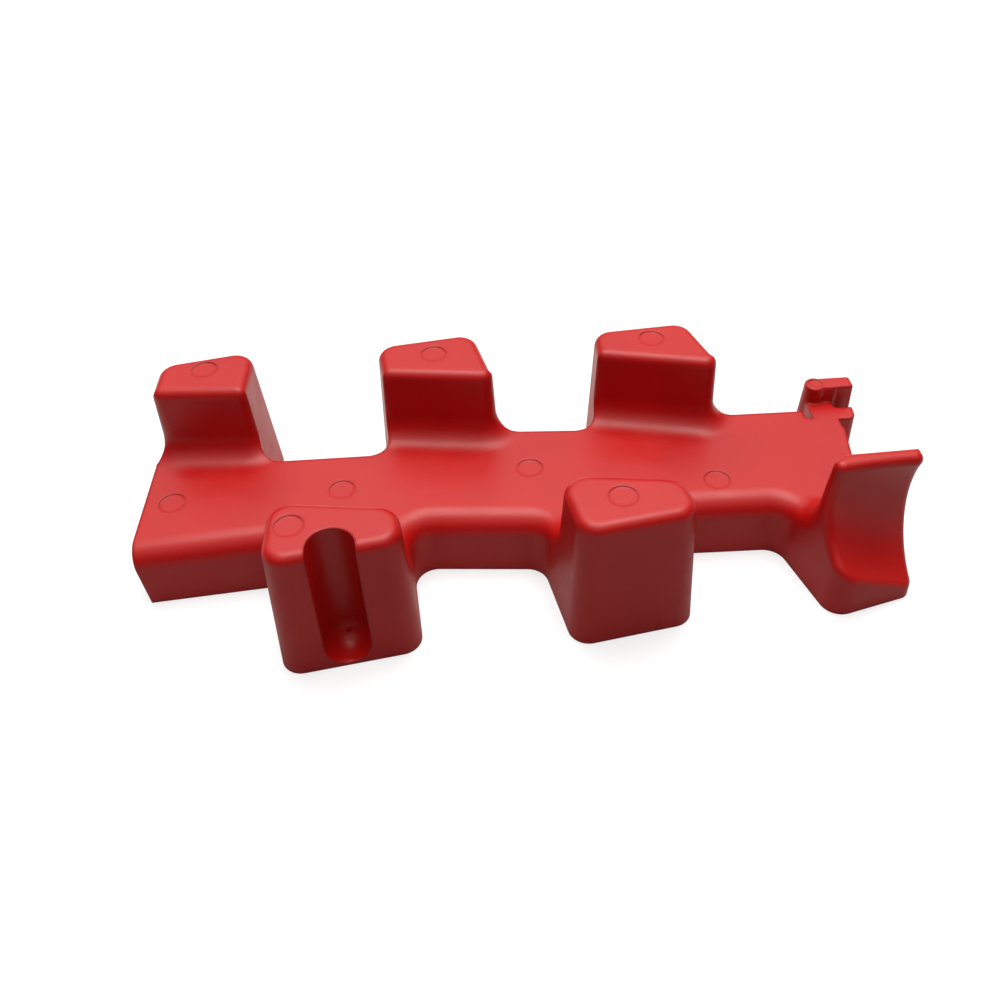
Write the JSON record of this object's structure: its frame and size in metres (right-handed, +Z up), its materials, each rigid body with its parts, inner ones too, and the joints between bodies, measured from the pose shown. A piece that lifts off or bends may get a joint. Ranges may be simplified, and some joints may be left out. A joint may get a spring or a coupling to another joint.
{
  "type": "channel guide block",
  "caption": "One-piece moulded plastic block: a long open channel between two staggered rows of posts, with a pocketed post, a scooped blade and a small slotted horn",
  "frame": {"origin": "centre of the footprint on the ground, under the channel floor", "axes": "X along the channel, the longest side, with the blade and horn at +X; Y across the channel towards the unpocketed back row of posts; Z up, the shortest side"},
  "size_m": [0.1736, 0.0766, 0.0333],
  "materials": {
    "body": "satin moulded red plastic"
  },
  "bodies": {
    "root": {"channel_block": "body"}
  },
  "joints": []
}
